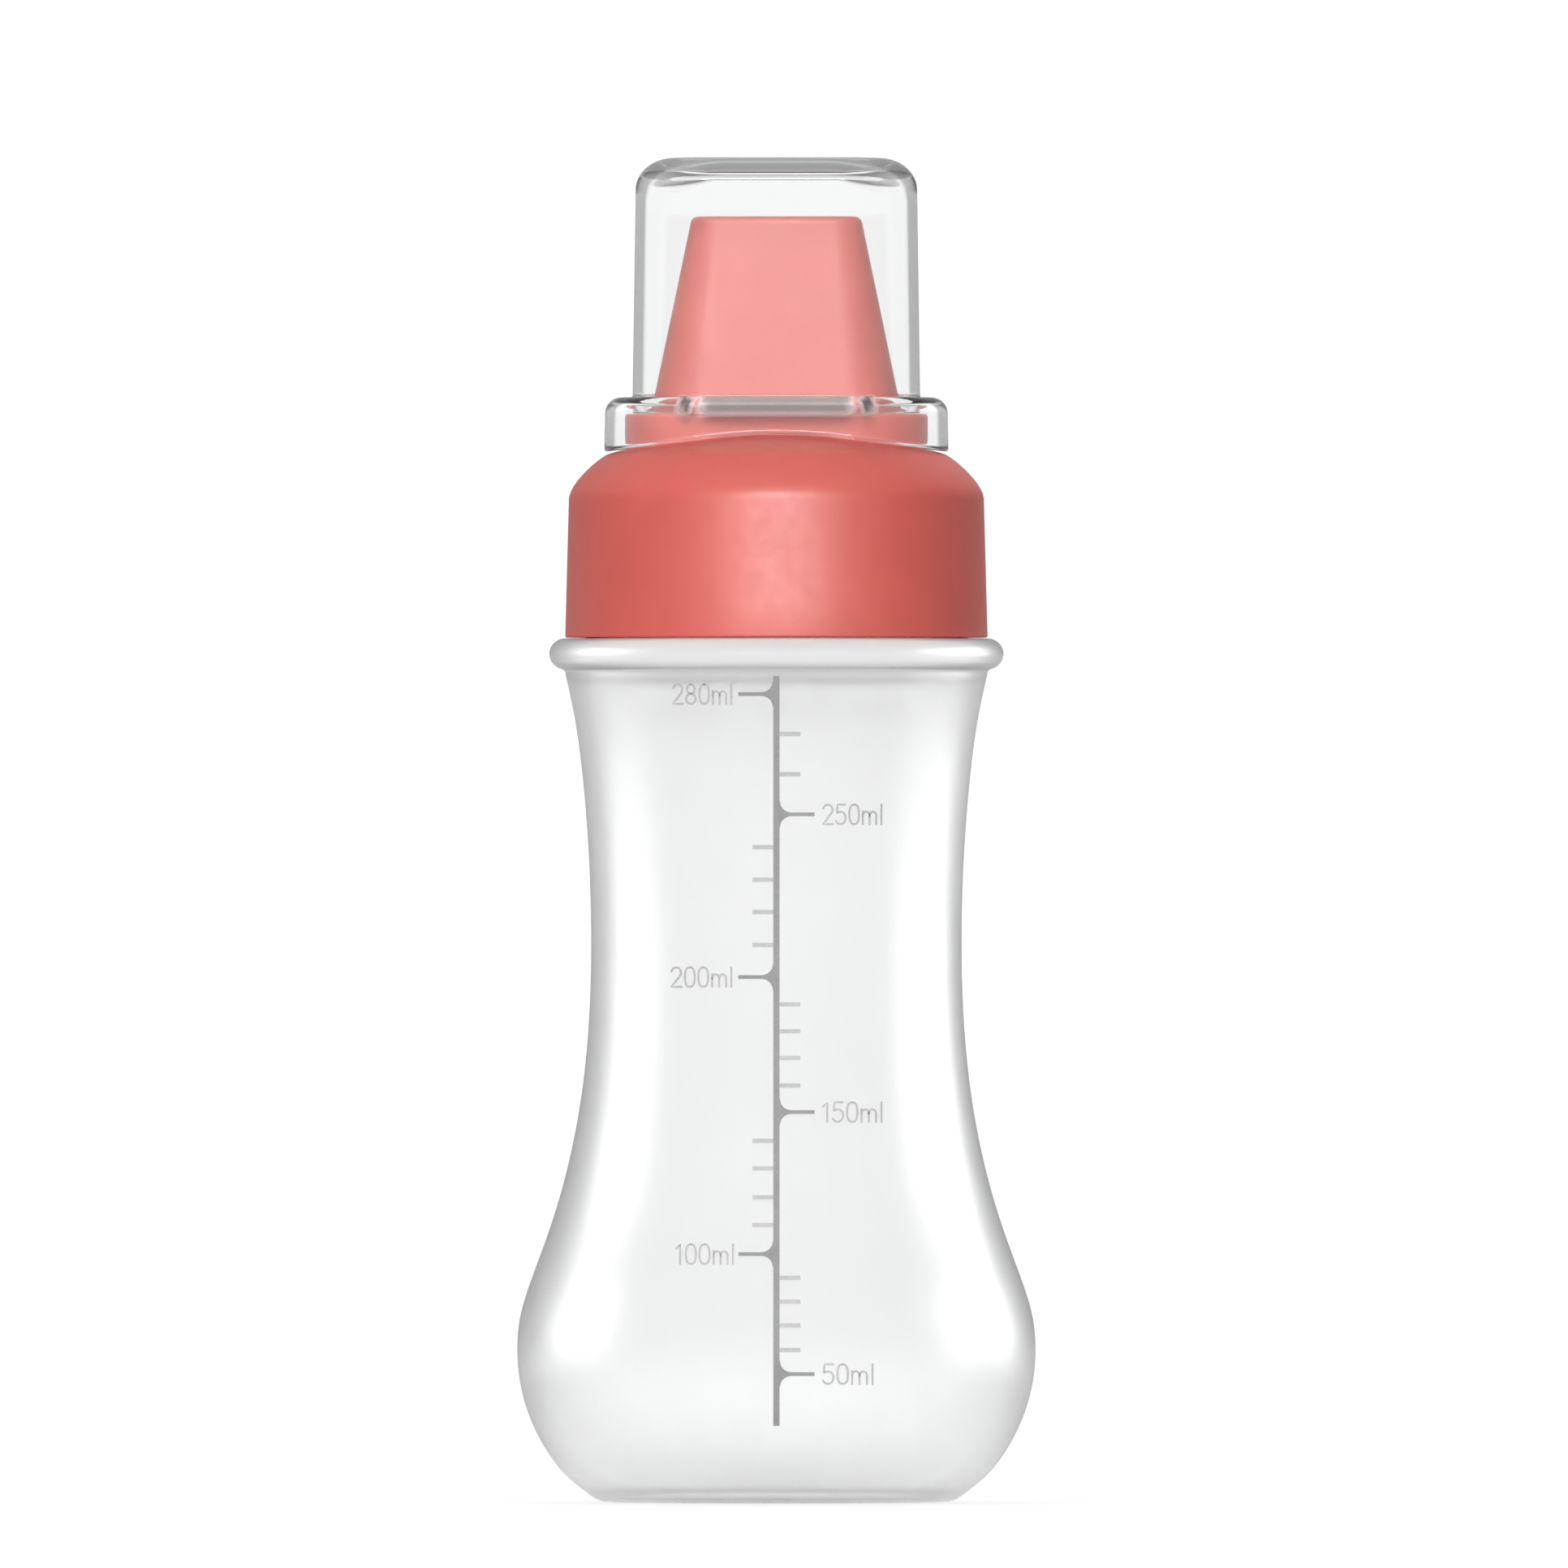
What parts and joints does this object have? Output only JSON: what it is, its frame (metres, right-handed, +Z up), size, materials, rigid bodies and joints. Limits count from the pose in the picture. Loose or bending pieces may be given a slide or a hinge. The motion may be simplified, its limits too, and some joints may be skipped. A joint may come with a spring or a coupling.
{
  "type": "squeeze sauce bottle",
  "caption": "Soft waisted squeeze bottle with a threaded screw cap, flat wedge nozzle, neck gasket and a clear pull-off dust hood, for pouring sauce in thin lines.",
  "frame": {"origin": "centre of the base, on the surface the bottle stands on", "axes": "+Z up along the bottle's axis, X along the wide side of the nozzle, -Y towards the viewer of the printed scale"},
  "size_m": [0.0716, 0.0716, 0.1854],
  "materials": {
    "bottle_plastic": "frosted translucent soft plastic",
    "cap_plastic": "satin coral plastic",
    "nozzle_plastic": "satin coral plastic",
    "gasket_silicone": "matte silicone",
    "hood_plastic": "polished clear plastic"
  },
  "bodies": {
    "bottle": {"bottle_body": "bottle_plastic"},
    "gasket": {"neck_gasket": "gasket_silicone"},
    "cap": {"screw_cap": "cap_plastic", "nozzle": "nozzle_plastic"},
    "hood": {"dust_hood": "hood_plastic"}
  },
  "joints": [
    {"name": "cap_lift", "type": "slide", "parent": "bottle", "child": "gasket", "axis": [0, 0, 1], "range_m": [0, 0.0076]},
    {"name": "cap_turn", "type": "hinge", "parent": "gasket", "child": "cap", "pos_m": [0, 0, 0.13], "axis": [0, 0, 1], "range_deg": [0, 540]},
    {"name": "hood_lift", "type": "slide", "parent": "cap", "child": "hood", "axis": [0, 0, 1], "range_m": [0, 0.04]}
  ],
  "couplings": [
    {"joint": "cap_lift", "follows": "cap_turn", "m_per_rad": 0.00079577}
  ]
}
